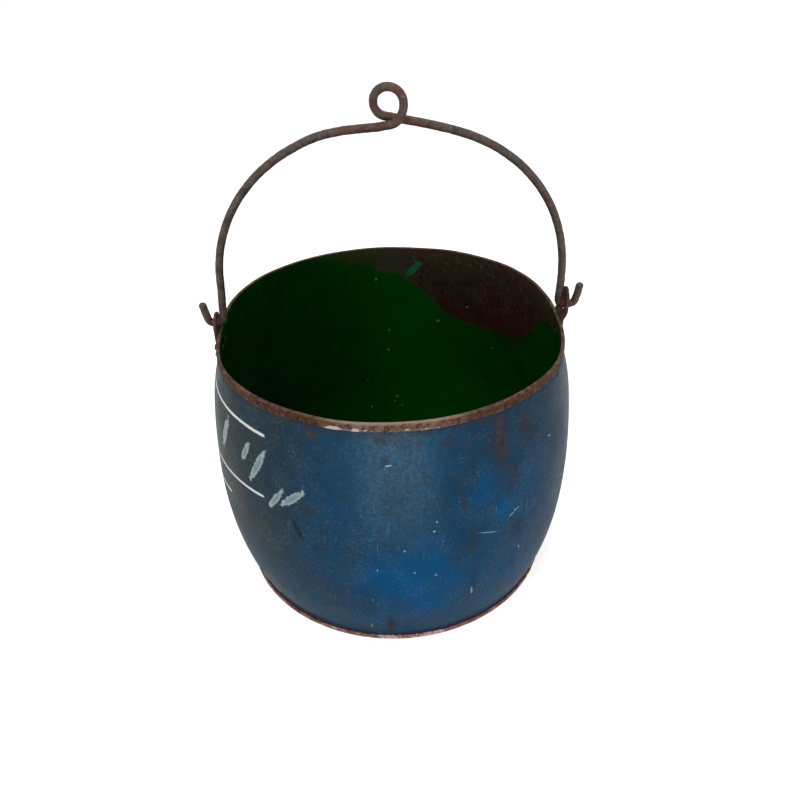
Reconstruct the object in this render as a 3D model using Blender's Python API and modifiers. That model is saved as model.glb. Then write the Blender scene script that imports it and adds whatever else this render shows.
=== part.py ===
"""Old sheet-metal bucket with a rod bail, in metres, +Z up.

The origin is on the floor under the middle of the base. The ears lie on the X axis, and the bail stands upright.
"""

import math
from collections import namedtuple

import bmesh
import bpy
from mathutils import Matrix, Vector

# Overall form of the body, on its outside
HEIGHT = 0.246
RIM_RADIUS = 0.157
BELLY_RADIUS = 0.1645
BELLY_HEIGHT = 0.120
FOOT_RADIUS = 0.1458
SHOULDER_FULLNESS = 1.5
FOOT_FULLNESS = 2.3

# Years of carrying pressed the rim in at both ears, deepest at the top
PINCH = 0.0084
PINCH_SPREAD = math.radians(23)
PINCH_REACH = 0.034

# Body sheet, straight where the base holds it, and the flat hem folded outward along its top edge
WALL = 0.0015
FOOT_CREASE = 0.001
HEM_FOLD = 0.0017
HEM_HEIGHT = 0.0075
HEM_ROUND = 0.0012
HEM_EDGE_ROUND = 0.0006

# Base plate with its edge turned up around the foot of the body
BASE_PLATE = 0.0015
LIP_THICKNESS = 0.0015
LIP_HEIGHT = 0.0045
LIP_ROUND = 0.0006
BASE_BEND = 0.0014

# Ears: cranked under the hem to lie along the wall. The right one stands taller, and is knocked outward
# between a bend beside the hem and a knee just over the rim
EAR_WIDTH = 0.026
EAR_THICKNESS = 0.0022
EAR_DROP = 0.024
EAR_CORNER = 0.006
CRANK_LENGTH = 0.003
EAR_BEND_DROP = 0.002
EAR_KNEE_RISE = 0.004
RIGHT_PIVOT_RISE = 0.0072
LEFT_PIVOT_RISE = 0.0042
RIGHT_EAR_CROWN = 0.016
LEFT_EAR_CROWN = 0.0085
RIGHT_EAR_KINK = math.radians(26)
RIGHT_EAR_LEAN = math.radians(5)

# Rivets through ear and wall
RIVET_DROP = 0.0165
RIVET_SPACING = 0.013
RIVET_SHANK = 0.004
RIVET_HEAD = 0.0075
RIVET_HEAD_HEIGHT = 0.0017
RIVET_TAIL = 0.0066
RIVET_TAIL_HEIGHT = 0.0012
RIVET_TAIL_TAPER = 0.0007

# Bail: one rod, arched, with an eye at its crown and a hook at each end; a splay is how far the foot of a leg
# stands outside the arch's waist, negative inside it
ROD = 0.007
RIGHT_SPLAY = -0.0006
LEFT_SPLAY = 0.0018
BAIL_SPRING = 0.0265
BAIL_RISE = 0.1356
RIGHT_SQUARENESS = 2.17
LEFT_SQUARENESS = 2.15
EYE_HOLE = 0.0156
EYE_LIFT = 0.0044
EYE_OFFSET = 0.0007
HEEL_BEND = 0.0045
HOOK_BEND = 0.005
HOOK_HEIGHT = 0.0195
HOOK_LEAN = 0.004
HOOK_TIP_LENGTH = 0.0016
HOOK_TIP_SHARE = 0.55

# Clearances
FIT_GAP = 0.0003
BAIL_HOLE_CLEARANCE = 0.0012
BAIL_SIDE_CLEARANCE = 0.0007
BAIL_PLAY = 0.0013
HOOK_CLEARANCE = 0.0005
RIGHT_HOOK_SLACK = 0.0031
EYE_GAP = 0.0005

# Fineness of the round shapes
TURNS_ROUND_BODY = 72
TURNS_ROUND_RIVET = 16
TURNS_ROUND_HOLE = 24
SHOULDER_STEPS = 8
FOOT_STEPS = 7
ARM_STEPS = 7
ARM_TURN = math.radians(72)
EYE_STEP_DEGREES = 30
MERGE = 0.00002

# Places that follow from the sizes
ROD_RADIUS = ROD / 2
NECK_HEIGHT = HEIGHT - HEM_HEIGHT
NECK_RADIUS = RIM_RADIUS - HEM_FOLD
WALL_BOTTOM = BASE_PLATE + FIT_GAP
FOOT_TOP = LIP_HEIGHT + FOOT_CREASE
LIP_INNER_RADIUS = FOOT_RADIUS + FIT_GAP
LIP_OUTER_RADIUS = LIP_INNER_RADIUS + LIP_THICKNESS
EAR_BEND_HEIGHT = HEIGHT - EAR_BEND_DROP
EAR_KNEE_HEIGHT = HEIGHT + EAR_KNEE_RISE
RIVET_HEIGHT = HEIGHT - RIVET_DROP
EAR_HOLE_RADIUS = ROD_RADIUS + BAIL_HOLE_CLEARANCE
RIVET_HOLE_RADIUS = RIVET_SHANK / 2 + FIT_GAP

Ear = namedtuple("Ear", "pivot crown kink lean")
RIGHT_EAR = Ear(HEIGHT + RIGHT_PIVOT_RISE, RIGHT_EAR_CROWN, RIGHT_EAR_KINK, RIGHT_EAR_LEAN)
LEFT_EAR = Ear(HEIGHT + LEFT_PIVOT_RISE, LEFT_EAR_CROWN, 0, 0)
BAIL_AXIS_HEIGHT = (RIGHT_EAR.pivot + LEFT_EAR.pivot) / 2


def clear_scene():
    for old in list(bpy.data.objects):
        bpy.data.objects.remove(old)


def new_collection(name):
    collection = bpy.data.collections.new(name)
    bpy.context.scene.collection.children.link(collection)
    return collection


def material(name, colour, roughness, metallic):
    made = bpy.data.materials.new(name)
    made.use_nodes = True
    shader = made.node_tree.nodes["Principled BSDF"]
    shader.inputs["Base Color"].default_value = (*colour, 1)
    shader.inputs["Roughness"].default_value = roughness
    shader.inputs["Metallic"].default_value = metallic
    return made


def arc(centre, radius, start, end, steps):
    """Points of a circular arc in a profile plane, both ends included, angles in degrees."""
    points = []
    for step in range(steps + 1):
        angle = math.radians(start + (end - start) * step / steps)
        points.append((centre[0] + radius * math.cos(angle), centre[1] + radius * math.sin(angle)))
    return points


def wall_radius(height):
    """Outside radius of the bellied wall at a height."""
    if height >= NECK_HEIGHT:
        return NECK_RADIUS
    if height <= FOOT_TOP:
        return FOOT_RADIUS
    if height >= BELLY_HEIGHT:
        share = (height - BELLY_HEIGHT) / (NECK_HEIGHT - BELLY_HEIGHT)
        return BELLY_RADIUS - (BELLY_RADIUS - NECK_RADIUS) * share**SHOULDER_FULLNESS
    share = (BELLY_HEIGHT - height) / (BELLY_HEIGHT - FOOT_TOP)
    return BELLY_RADIUS - (BELLY_RADIUS - FOOT_RADIUS) * share**FOOT_FULLNESS


def pinch_depth(height):
    """How far the sheet is pressed in at the ears at a height."""
    return PINCH * math.exp(-(((HEIGHT - height) / PINCH_REACH) ** 2))


def wall_face(height):
    """How far out the wall lies in the ears' plane at a height."""
    return wall_radius(height) - pinch_depth(height)


def wall_slope(height):
    """How fast wall_face grows with height, as a central difference."""
    step = 0.0005
    return (wall_face(height + step) - wall_face(height - step)) / (2 * step)


def ear_face(height, ear):
    """How far out an ear's inner face lies above the crank: upright, then knocked out, then nearly upright."""
    beside_hem = RIM_RADIUS - pinch_depth(NECK_HEIGHT) + FIT_GAP
    kinked = min(max(height - EAR_BEND_HEIGHT, 0), EAR_KNEE_HEIGHT - EAR_BEND_HEIGHT)
    leaning = max(height - EAR_KNEE_HEIGHT, 0)
    return beside_hem + kinked * math.tan(ear.kink) + leaning * math.tan(ear.lean)


def wall_heights():
    """Heights of the wall's profile points, from the neck down to the foot."""
    shoulder = [
        NECK_HEIGHT - (NECK_HEIGHT - BELLY_HEIGHT) * step / SHOULDER_STEPS for step in range(SHOULDER_STEPS + 1)
    ]
    foot = [BELLY_HEIGHT - (BELLY_HEIGHT - FOOT_TOP) * (step + 1) / FOOT_STEPS for step in range(FOOT_STEPS)]
    return shoulder + foot + [WALL_BOTTOM]


def turned(name, profile, steps, surface, closed):
    """A body of revolution about Z from a profile of (radius, height) points."""
    mesh = bpy.data.meshes.new(name)
    shape = bmesh.new()
    corners = [shape.verts.new((radius, 0, height)) for radius, height in profile]
    for first, second in zip(corners, corners[1:]):
        shape.edges.new((first, second))
    if closed:
        shape.edges.new((corners[-1], corners[0]))
    shape.to_mesh(mesh)
    shape.free()
    mesh.materials.append(surface)
    piece = bpy.data.objects.new(name, mesh)
    screw = piece.modifiers.new("turn", "SCREW")
    screw.steps = steps
    screw.render_steps = steps
    screw.use_merge_vertices = True
    screw.merge_threshold = MERGE
    screw.use_smooth_shade = True
    return piece


def evaluated_mesh(piece, name):
    """The mesh of an object with its modifiers, its loose cap edges welded."""
    bpy.context.view_layer.update()
    graph = bpy.context.evaluated_depsgraph_get()
    mesh = bpy.data.meshes.new_from_object(piece.evaluated_get(graph))
    mesh.name = name
    shape = bmesh.new()
    shape.from_mesh(mesh)
    bmesh.ops.remove_doubles(shape, verts=shape.verts, dist=MERGE)
    shape.to_mesh(mesh)
    shape.free()
    return mesh


def cutter_cylinder(name, radius, length, place, collection):
    """A round cutter whose axis is the Z axis of the matrix place."""
    mesh = bpy.data.meshes.new(name)
    shape = bmesh.new()
    bmesh.ops.create_cone(
        shape, cap_ends=True, segments=TURNS_ROUND_HOLE, radius1=radius, radius2=radius, depth=length, matrix=Matrix()
    )
    shape.to_mesh(mesh)
    shape.free()
    cutter = bpy.data.objects.new(name, mesh)
    cutter.matrix_world = place
    cutter.hide_render = True
    cutter.display_type = "WIRE"
    collection.objects.link(cutter)
    return cutter


def combine(piece, other, operation):
    boolean = piece.modifiers.new(other.name, "BOOLEAN")
    boolean.operation = operation
    boolean.solver = "EXACT"
    boolean.object = other


def rivet_place(side, along):
    """Frame of a rivet: its origin on the ear's outer face, its Z axis square to the ear's tab, pointing out."""
    slope = wall_slope(RIVET_HEIGHT)
    lean = math.atan(-slope)
    outward = Vector((math.cos(lean), 0, math.sin(lean)))
    seat = Vector((wall_face(RIVET_HEIGHT), along, RIVET_HEIGHT)) + outward * (FIT_GAP + EAR_THICKNESS)
    turn = Matrix.Rotation(math.pi / 2 - lean, 4, "Y")
    half_turn = Matrix.Rotation(0 if side > 0 else math.pi, 4, "Z")
    return half_turn @ Matrix.Translation(seat) @ turn


def press_in(mesh):
    """Move the vertices of the round body in where the ears pinch it."""
    for vertex in mesh.vertices:
        radius = math.hypot(vertex.co.x, vertex.co.y)
        from_ear = math.atan2(abs(vertex.co.y), abs(vertex.co.x))
        inward = pinch_depth(vertex.co.z) * math.exp(-((from_ear / PINCH_SPREAD) ** 2))
        vertex.co.x *= 1 - inward / radius
        vertex.co.y *= 1 - inward / radius


def make_body_shell(parts, cutters):
    hem_inner = NECK_RADIUS - WALL
    hem_bottom = NECK_HEIGHT
    profile = arc((RIM_RADIUS - HEM_ROUND, HEIGHT - HEM_ROUND), HEM_ROUND, 90, 0, 3)
    profile += arc((RIM_RADIUS - HEM_EDGE_ROUND, hem_bottom + HEM_EDGE_ROUND), HEM_EDGE_ROUND, 0, -90, 2)
    outer = [(wall_radius(height), height) for height in wall_heights()]
    inner = [(radius - WALL, height) for radius, height in reversed(outer)]
    profile += outer + inner
    profile += arc((hem_inner + HEM_ROUND, HEIGHT - HEM_ROUND), HEM_ROUND, 180, 90, 3)
    surface = material("blue_paint", (0.035, 0.10, 0.20), 0.45, 0.0)
    round_shell = turned("round_shell", profile, TURNS_ROUND_BODY, surface, closed=True)
    parts.objects.link(round_shell)
    mesh = evaluated_mesh(round_shell, "body_shell")
    bpy.data.objects.remove(round_shell)
    press_in(mesh)
    shell = bpy.data.objects.new("body_shell", mesh)
    parts.objects.link(shell)
    reach = 6 * (EAR_THICKNESS + WALL)
    for side in (1, -1):
        for along in (-RIVET_SPACING / 2, RIVET_SPACING / 2):
            place = rivet_place(side, along)
            cutter = cutter_cylinder("wall_rivet_hole", RIVET_HOLE_RADIUS, reach, place, cutters)
            combine(shell, cutter, "DIFFERENCE")


def make_base_disc(parts):
    profile = [(0, BASE_PLATE), (LIP_INNER_RADIUS, BASE_PLATE)]
    profile += arc((LIP_INNER_RADIUS + LIP_ROUND, LIP_HEIGHT - LIP_ROUND), LIP_ROUND, 180, 90, 2)
    profile += arc((LIP_OUTER_RADIUS - LIP_ROUND, LIP_HEIGHT - LIP_ROUND), LIP_ROUND, 90, 0, 2)
    profile += arc((LIP_OUTER_RADIUS - BASE_BEND, BASE_BEND), BASE_BEND, 0, -90, 3)
    profile += [(0, 0)]
    surface = material("red_rust", (0.21, 0.11, 0.09), 0.8, 0.0)
    parts.objects.link(turned("base_disc", profile, TURNS_ROUND_BODY, surface, closed=False))


def ear_section(ear):
    """Inner face of an ear seen edge on, as (x, z) points from the bottom of its tab to its top."""
    slope = wall_slope(RIVET_HEIGHT)
    gap = FIT_GAP * math.sqrt(1 + slope**2)
    tab_bottom = HEIGHT - 2 * EAR_DROP
    crank_top = NECK_HEIGHT - FIT_GAP
    crank_bottom = crank_top - CRANK_LENGTH

    def tab_face(height):
        return wall_face(RIVET_HEIGHT) + gap + slope * (height - RIVET_HEIGHT)

    top = ear.pivot + 2 * ear.crown
    return [
        (tab_face(tab_bottom), tab_bottom),
        (tab_face(crank_bottom), crank_bottom),
        (ear_face(crank_top, ear), crank_top),
        (ear_face(EAR_BEND_HEIGHT, ear), EAR_BEND_HEIGHT),
        (ear_face(EAR_KNEE_HEIGHT, ear), EAR_KNEE_HEIGHT),
        (ear_face(top, ear), top),
    ]


def ear_outline(ear, cutters):
    """An ear's outline, seen from its side, as a prism along X: its top and its lower corners are rounded."""
    half = EAR_WIDTH / 2
    low = HEIGHT - EAR_DROP
    points = [(half * across, ear.pivot + ear.crown * up) for across, up in arc((0, 0), 1, 0, 180, 16)]
    points += arc((-half + EAR_CORNER, low + EAR_CORNER), EAR_CORNER, 180, 270, 5)
    points += arc((half - EAR_CORNER, low + EAR_CORNER), EAR_CORNER, 270, 360, 5)
    curve = bpy.data.curves.new("ear_outline", "CURVE")
    curve.dimensions = "2D"
    curve.fill_mode = "BOTH"
    curve.extrude = 8 * EAR_THICKNESS
    spline = curve.splines.new("POLY")
    spline.points.add(len(points) - 1)
    for point, (across, height) in zip(spline.points, points):
        point.co = (across, height, 0, 1)
    spline.use_cyclic_u = True
    drawn = bpy.data.objects.new("ear_outline_curve", curve)
    bpy.context.scene.collection.objects.link(drawn)
    drawn.matrix_world = Matrix.Translation((wall_face(RIVET_HEIGHT), 0, 0)) @ Matrix(
        ((0, 0, 1, 0), (1, 0, 0, 0), (0, 1, 0, 0), (0, 0, 0, 1))
    )
    prism = bpy.data.objects.new("ear_outline", evaluated_mesh(drawn, "ear_outline"))
    prism.matrix_world = drawn.matrix_world
    bpy.data.objects.remove(drawn)
    prism.hide_render = True
    prism.display_type = "WIRE"
    cutters.objects.link(prism)
    return prism


def make_ear(name, ear, angle, surface, parts, cutters):
    """One ear, made on the +X side and turned about Z by angle."""
    mesh = bpy.data.meshes.new("ear_strip")
    shape = bmesh.new()
    rows = []
    for face, height in ear_section(ear):
        rows.append([shape.verts.new((face, across, height)) for across in (-EAR_WIDTH, EAR_WIDTH)])
    for low, high in zip(rows, rows[1:]):
        shape.faces.new((low[0], low[1], high[1], high[0]))
    shape.to_mesh(mesh)
    shape.free()
    strip = bpy.data.objects.new("ear_strip", mesh)
    parts.objects.link(strip)
    solidify = strip.modifiers.new("sheet", "SOLIDIFY")
    solidify.thickness = EAR_THICKNESS
    solidify.offset = 1
    solidify.use_even_offset = True
    combine(strip, ear_outline(ear, cutters), "INTERSECT")
    reach = 6 * EAR_THICKNESS
    hole_place = Matrix.Translation((ear_face(ear.pivot, ear), 0, ear.pivot))
    hole_place = hole_place @ Matrix.Rotation(math.pi / 2, 4, "Y")
    combine(strip, cutter_cylinder("bail_hole", EAR_HOLE_RADIUS, reach, hole_place, cutters), "DIFFERENCE")
    for along in (-RIVET_SPACING / 2, RIVET_SPACING / 2):
        place = rivet_place(1, along)
        cutter = cutter_cylinder("ear_rivet_hole", RIVET_HOLE_RADIUS, reach, place, cutters)
        combine(strip, cutter, "DIFFERENCE")
    ear_mesh = evaluated_mesh(strip, name)
    bpy.data.objects.remove(strip)
    ear_mesh.materials.clear()
    ear_mesh.materials.append(surface)
    plate = bpy.data.objects.new(name, ear_mesh)
    plate.rotation_euler = (0, 0, angle)
    parts.objects.link(plate)


def make_ears(parts, cutters):
    surface = material("ear_rust", (0.10, 0.06, 0.05), 0.75, 0.3)
    make_ear("right_ear", RIGHT_EAR, 0, surface, parts, cutters)
    make_ear("left_ear", LEFT_EAR, math.pi, surface, parts, cutters)


def rivet_profile():
    """Turned profile of a set rivet: domed head, shank, flat tail, from the head's top down."""
    head = RIVET_HEAD / 2
    shank = RIVET_SHANK / 2
    tail = RIVET_TAIL / 2
    inner_wall = wall_face(RIVET_HEIGHT) - WALL
    farthest = RIVET_SPACING / 2 + tail
    curve_of_wall = inner_wall - math.sqrt(inner_wall**2 - farthest**2)
    tail_seat = -(EAR_THICKNESS + FIT_GAP + WALL + curve_of_wall + FIT_GAP)
    profile = []
    dome_steps = 4
    for step in range(dome_steps + 1):
        angle = math.pi / 2 * (1 - step / dome_steps)
        profile.append((head * math.cos(angle) if step else 0, FIT_GAP + RIVET_HEAD_HEIGHT * math.sin(angle)))
    profile += [(shank, FIT_GAP), (shank, tail_seat), (tail, tail_seat)]
    profile += [(tail - RIVET_TAIL_TAPER, tail_seat - RIVET_TAIL_HEIGHT), (0, tail_seat - RIVET_TAIL_HEIGHT)]
    return profile


def make_rivets(parts):
    surface = material("rivet_rust", (0.12, 0.07, 0.05), 0.75, 0.3)
    for side_name, side in (("right", 1), ("left", -1)):
        for end_name, along in (("front", -side * RIVET_SPACING / 2), ("back", side * RIVET_SPACING / 2)):
            name = f"{side_name}_ear_rivet_{end_name}"
            rivet = turned(name, rivet_profile(), TURNS_ROUND_RIVET, surface, closed=False)
            rivet.matrix_world = rivet_place(side, along)
            parts.objects.link(rivet)


def ease(share):
    """0 to 1 with a soft start and end."""
    share = min(max(share, 0), 1)
    return share * share * (3 - 2 * share)


def leg_distance(ear, play):
    """Distance from the middle of the bucket to the rod's leg, which stands inside this ear."""
    return ear_face(ear.pivot, ear) - (BAIL_SIDE_CLEARANCE + ROD_RADIUS) / math.cos(ear.lean) - play


# The bail has slid towards the bent ear, so the arch's middle is not over the bucket's middle
RIGHT_LEG = leg_distance(RIGHT_EAR, 0)
LEFT_LEG = leg_distance(LEFT_EAR, BAIL_PLAY)
BAIL_MIDDLE = ((RIGHT_LEG - RIGHT_SPLAY) - (LEFT_LEG - LEFT_SPLAY)) / 2
BAIL_HALF_WIDTH = ((RIGHT_LEG - RIGHT_SPLAY) + (LEFT_LEG - LEFT_SPLAY)) / 2


def bail_half(side, leg, ear, slack, squareness):
    """One side of the rod's centre line from the hook's tip up to the arm's top, with heights from the bail's axis.

    The arm is part of a superellipse about the arch's middle that springs from the leg.
    """
    pivot = ear.pivot - BAIL_AXIS_HEIGHT
    plate_outside = ear_face(ear.pivot, ear) + EAR_THICKNESS / math.cos(ear.lean)
    hook_turn = math.atan2(HOOK_HEIGHT, HOOK_LEAN)
    corner_length = HOOK_BEND * math.tan(hook_turn / 2)
    clear_of_plate = plate_outside + (ROD_RADIUS + HOOK_CLEARANCE) / math.cos(ear.lean)
    corner = max(plate_outside + HOOK_CLEARANCE + corner_length, clear_of_plate) + slack
    below_tip = 1 - HOOK_TIP_LENGTH / HOOK_HEIGHT
    points = [(corner + HOOK_LEAN * share, pivot + HOOK_HEIGHT * share) for share in (1, below_tip)]
    hook_centre = (corner - corner_length, pivot + HOOK_BEND)
    points += arc(hook_centre, HOOK_BEND, math.degrees(hook_turn) - 90, -90, 3)
    points += arc((leg + HEEL_BEND, pivot + HEEL_BEND), HEEL_BEND, 270, 180, 4)
    waist = side * BAIL_MIDDLE + BAIL_HALF_WIDTH
    points.append(((leg + waist) / 2, (pivot + HEEL_BEND + BAIL_SPRING) / 2))
    for step in range(ARM_STEPS + 1):
        angle = ARM_TURN * step / ARM_STEPS
        across = BAIL_HALF_WIDTH * math.cos(angle) ** (2 / squareness)
        up = BAIL_RISE * math.sin(angle) ** (2 / squareness)
        points.append((side * BAIL_MIDDLE + across, BAIL_SPRING + up))
    return [Vector((side * across, 0, height)) for across, height in points]


def eye_points():
    """The eye's full turn of rod, seen from the front: in along the bottom, up the right side and round.

    It starts in front, at the left arm, and ends one rod diameter behind, at the right arm.
    """
    radius = EYE_HOLE / 2 + ROD_RADIUS
    depth = (ROD + EYE_GAP) / 2
    centre = BAIL_SPRING + BAIL_RISE + EYE_LIFT + radius
    crossing_start = -EYE_STEP_DEGREES / 2
    crossing_end = 180 + EYE_STEP_DEGREES / 2
    points = []
    for degrees in range(-90, 271, EYE_STEP_DEGREES):
        angle = math.radians(degrees)
        drop = radius + EYE_LIFT if degrees < 0 else radius
        along = -depth + 2 * depth * ease((degrees - crossing_start) / (crossing_end - crossing_start))
        across = BAIL_MIDDLE + EYE_OFFSET + radius * math.cos(angle)
        points.append(Vector((across, along, centre + drop * math.sin(angle))))
    return points


def make_bail(parts):
    left = bail_half(-1, LEFT_LEG, LEFT_EAR, 0, LEFT_SQUARENESS)
    right = bail_half(1, RIGHT_LEG, RIGHT_EAR, RIGHT_HOOK_SLACK, RIGHT_SQUARENESS)
    route = left + eye_points() + right[::-1]
    curve = bpy.data.curves.new("bail", "CURVE")
    curve.dimensions = "3D"
    curve.bevel_depth = ROD_RADIUS
    curve.bevel_resolution = 3
    curve.use_fill_caps = True
    curve.resolution_u = 4
    curve.render_resolution_u = 0
    spline = curve.splines.new("BEZIER")
    spline.bezier_points.add(len(route) - 1)
    for knot, point in zip(spline.bezier_points, route):
        knot.co = point
        knot.handle_left_type = "AUTO"
        knot.handle_right_type = "AUTO"
    spline.bezier_points[0].radius = HOOK_TIP_SHARE
    spline.bezier_points[-1].radius = HOOK_TIP_SHARE
    curve.materials.append(material("bail_rust", (0.09, 0.07, 0.055), 0.7, 0.4))
    bail = bpy.data.objects.new("bail", curve)
    bail.location = (0, 0, BAIL_AXIS_HEIGHT)
    parts.objects.link(bail)


def main():
    clear_scene()
    parts = new_collection("rusty_bucket")
    cutters = new_collection("cutters")
    make_body_shell(parts, cutters)
    make_base_disc(parts)
    make_ears(parts, cutters)
    make_rivets(parts)
    make_bail(parts)


main()
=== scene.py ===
"""Finish of an old blue bucket: worn paint, rusted iron, studio floor, light and camera, in metres, +Z up."""

import math

import bmesh
import bpy
from mathutils import Matrix, Vector, noise


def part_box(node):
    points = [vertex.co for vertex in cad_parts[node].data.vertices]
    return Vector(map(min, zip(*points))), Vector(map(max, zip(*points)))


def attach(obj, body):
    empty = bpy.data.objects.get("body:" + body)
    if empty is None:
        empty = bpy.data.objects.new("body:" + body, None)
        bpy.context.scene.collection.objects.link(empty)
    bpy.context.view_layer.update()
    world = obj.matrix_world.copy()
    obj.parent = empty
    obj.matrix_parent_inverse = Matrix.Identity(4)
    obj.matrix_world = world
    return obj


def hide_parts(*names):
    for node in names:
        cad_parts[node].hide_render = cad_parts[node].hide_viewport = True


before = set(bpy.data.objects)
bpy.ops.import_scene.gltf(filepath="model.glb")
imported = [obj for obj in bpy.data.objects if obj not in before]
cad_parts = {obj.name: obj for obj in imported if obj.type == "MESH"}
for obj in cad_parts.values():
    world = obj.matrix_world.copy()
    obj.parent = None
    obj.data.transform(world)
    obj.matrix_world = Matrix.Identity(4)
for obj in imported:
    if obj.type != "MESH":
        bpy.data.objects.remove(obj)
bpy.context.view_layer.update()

# Sizes of the body, which the frame's solids already have
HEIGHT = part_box("body_shell")[1].z
BELLY_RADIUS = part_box("body_shell")[1].y
LIP_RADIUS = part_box("base_disc")[1].y
LIP_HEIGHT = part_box("base_disc")[1].z
RIM_RADIUS = 0.157
BELLY_HEIGHT = 0.120
SHOULDER_FULLNESS = 1.5
FOOT_FULLNESS = 2.3
PINCH = 0.0084
PINCH_SPREAD = math.radians(23)
PINCH_REACH = 0.034
WALL = 0.0015
FOOT_CREASE = 0.001
HEM_FOLD = 0.0017
HEM_HEIGHT = 0.0075
HEM_ROUND = 0.0012
HEM_EDGE_ROUND = 0.0006
BASE_PLATE = 0.0015
LIP_THICKNESS = 0.0015
LIP_ROUND = 0.0006
BASE_BEND = 0.0014
FIT_GAP = 0.0003

FOOT_RADIUS = LIP_RADIUS - LIP_THICKNESS - FIT_GAP
LIP_INNER_RADIUS = FOOT_RADIUS + FIT_GAP
NECK_HEIGHT = HEIGHT - HEM_HEIGHT
NECK_RADIUS = RIM_RADIUS - HEM_FOLD
FOOT_TOP = LIP_HEIGHT + FOOT_CREASE
WALL_BOTTOM = BASE_PLATE + FIT_GAP

# Fineness of the surfaces: faces round the bucket, heights of the rows of faces, steps of the rounded edges
TURNS = 320
WALL_ROW = 0.0021
INSIDE_ROW = 0.0026
EDGE_ROW = 0.0012
HEM_ROW = 0.0008
UNDER_HEM = 0.0002
FIRST_WALL_ROW = 0.001
FIRST_INSIDE_ROW = 0.002
PLATE_ROW = 0.006
LIP_INNER_ROW = 0.0006
LIP_OUTER_ROW = 0.0005
HUB_RADIUS = 0.0005
UNDERSIDE_MARGIN = 0.004
HEM_STEPS = 5
EDGE_STEPS = 4
LIP_STEPS = 3

# The bail's, ears' and rivets' remeshing, and their pits as (depth, size)
ROD_VOXEL = 0.0006
EAR_VOXEL = 0.0005
SMOOTH_ROUNDS = 3
SMOOTHING = 0.6
ROD_PITS = (0.0004, 0.004)
EAR_PITS = (0.0003, 0.003)
RIVET_PITS = (0.0002, 0.002)
COARSE_PITS = 0.6
FINE_PITS = 0.4
FINE_PIT_SIZE = 0.35

# Unevenness of the sheet, and how far it stays away from the ears and the base
WAVE = 0.0007
WAVE_SIZE = 0.075
WAVE_SQUASH = 0.8
RIM_WAVE = 0.0006
RIM_WAVE_SIZE = 0.045
RIM_WAVE_REACH = 0.03
EAR_HALF_ANGLE = math.radians(7)
EAR_FADE = math.radians(12)
EAR_DEPTH = 0.05
EAR_DEPTH_FADE = 0.03
FOOT_FADE = 0.012

# Roughness of the hem, of its lower edge, and of the base's ring
HEM_ROUGH = 0.00012
HEM_ROUGH_SIZE = 0.006
HEM_EDGE_ROUGH = 0.00035
HEM_EDGE_ROUGH_SIZE = 0.011
HEM_EDGE_REACH = 0.003
RING_ROUGH = 0.00022
RING_ROUGH_SIZE = 0.012
RING_GRAIN = 0.7
RING_GRAIN_SIZE = 0.004
RING_GRAIN_HEIGHT = 0.003
RING_ROUGH_FADE = 0.001
RING_EDGE_ROUGH = 0.0003
RING_EDGE_ROUGH_SIZE = 0.009
RING_EDGE_FROM = 0.002
RING_EDGE_FULL = 0.0045

# Shallow dents as (angle from the front, height, half width, half height, depth)
DENTS = [
    (8, 0.150, 0.030, 0.040, 0.0006),
    (118, 0.140, 0.026, 0.020, 0.0022),
    (152, 0.070, 0.030, 0.024, 0.0018),
    (-140, 0.110, 0.022, 0.034, 0.0020),
    (-165, 0.190, 0.018, 0.014, 0.0014),
    (-112, 0.050, 0.020, 0.016, 0.0014),
]

# Marks on the outside as (angle from the front, height, half width, half height, tilt, strength)
RUST_MARKS = [
    (-25, 0.2305, 0.0054, 0.0048, 0, 0.95),
    (-22.5, 0.224, 0.0040, 0.0036, 20, 0.5),
    (-4, 0.212, 0.0034, 0.0038, 15, 0.8),
    (-5, 0.231, 0.0070, 0.0036, 0, 0.6),
    (5, 0.226, 0.0040, 0.0060, 0, 0.45),
    (29.4, 0.2130, 0.0085, 0.0270, 2, 0.80),
    (33.3, 0.1760, 0.0080, 0.0150, 8, 0.66),
    (39.0, 0.216, 0.0080, 0.0150, 12, 0.66),
    (42, 0.203, 0.0060, 0.0050, 40, 0.7),
    (18.3, 0.218, 0.0036, 0.0046, 0, 0.5),
    (13.5, 0.225, 0.0080, 0.0060, 40, 0.5),
    (15.6, 0.180, 0.0012, 0.0080, 26, 0.7),
    (17.6, 0.164, 0.0018, 0.0100, 14, 0.72),
    (20.5, 0.125, 0.0050, 0.0260, 0, 0.46),
    (21.4, 0.080, 0.0036, 0.0240, 0, 0.44),
    (-6, 0.147, 0.0044, 0.0050, 30, 0.4),
    (-26.8, 0.158, 0.0040, 0.0022, -20, 0.9),
    (-4.4, 0.022, 0.0040, 0.0150, 0, 0.8),
    (-34, 0.008, 0.0220, 0.0050, 0, 0.9),
    (-46, 0.010, 0.0220, 0.0060, 0, 1.0),
    (-62, 0.012, 0.0280, 0.0090, 0, 1.0),
    (-79, 0.030, 0.0060, 0.0260, 0, 0.7),
    (20, 0.006, 0.0140, 0.0030, 0, 0.9),
]
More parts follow.
